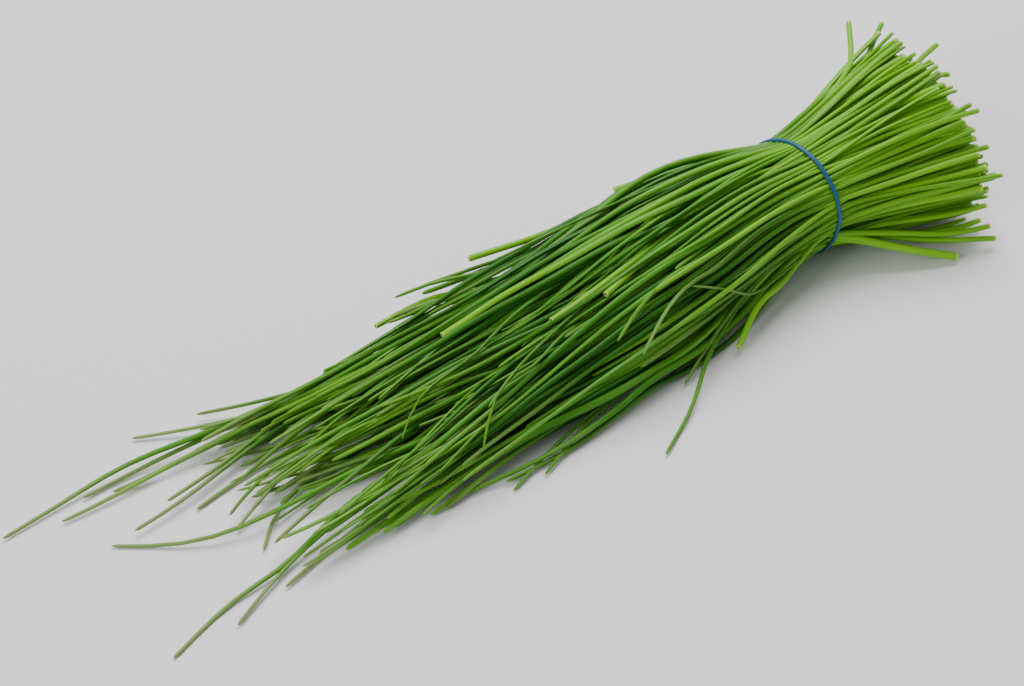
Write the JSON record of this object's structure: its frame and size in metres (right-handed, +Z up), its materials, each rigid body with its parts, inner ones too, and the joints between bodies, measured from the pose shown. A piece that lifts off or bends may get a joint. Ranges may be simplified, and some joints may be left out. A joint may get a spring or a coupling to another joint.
{
  "type": "chive bunch",
  "caption": "Bunch of fresh chives lying down, long thin round green leaves held tight by one thin elastic band near their cut ends and fanning out to fine tips.",
  "frame": {"origin": "on the surface the bunch lies on, straight under the elastic band, at the middle of the band's pressed-flat underside", "axes": "+X along the bunch towards its cut ends, so the tips point along -X; +Y across the bunch; +Z up"},
  "size_m": [0.3432, 0.0974, 0.0437],
  "materials": {
    "chive_leaf": "satin",
    "elastic_band": "matte"
  },
  "bodies": {
    "root": {"leaves_01": "chive_leaf", "leaves_02": "chive_leaf", "leaves_03": "chive_leaf", "leaves_04": "chive_leaf", "leaves_05": "chive_leaf", "leaves_06": "chive_leaf", "leaves_07": "chive_leaf", "leaves_08": "chive_leaf", "leaves_09": "chive_leaf", "leaves_10": "chive_leaf", "leaves_11": "chive_leaf", "leaves_12": "chive_leaf", "leaves_13": "chive_leaf", "leaves_14": "chive_leaf", "leaves_15": "chive_leaf", "leaves_16": "chive_leaf", "elastic_band": "elastic_band"}
  },
  "joints": []
}
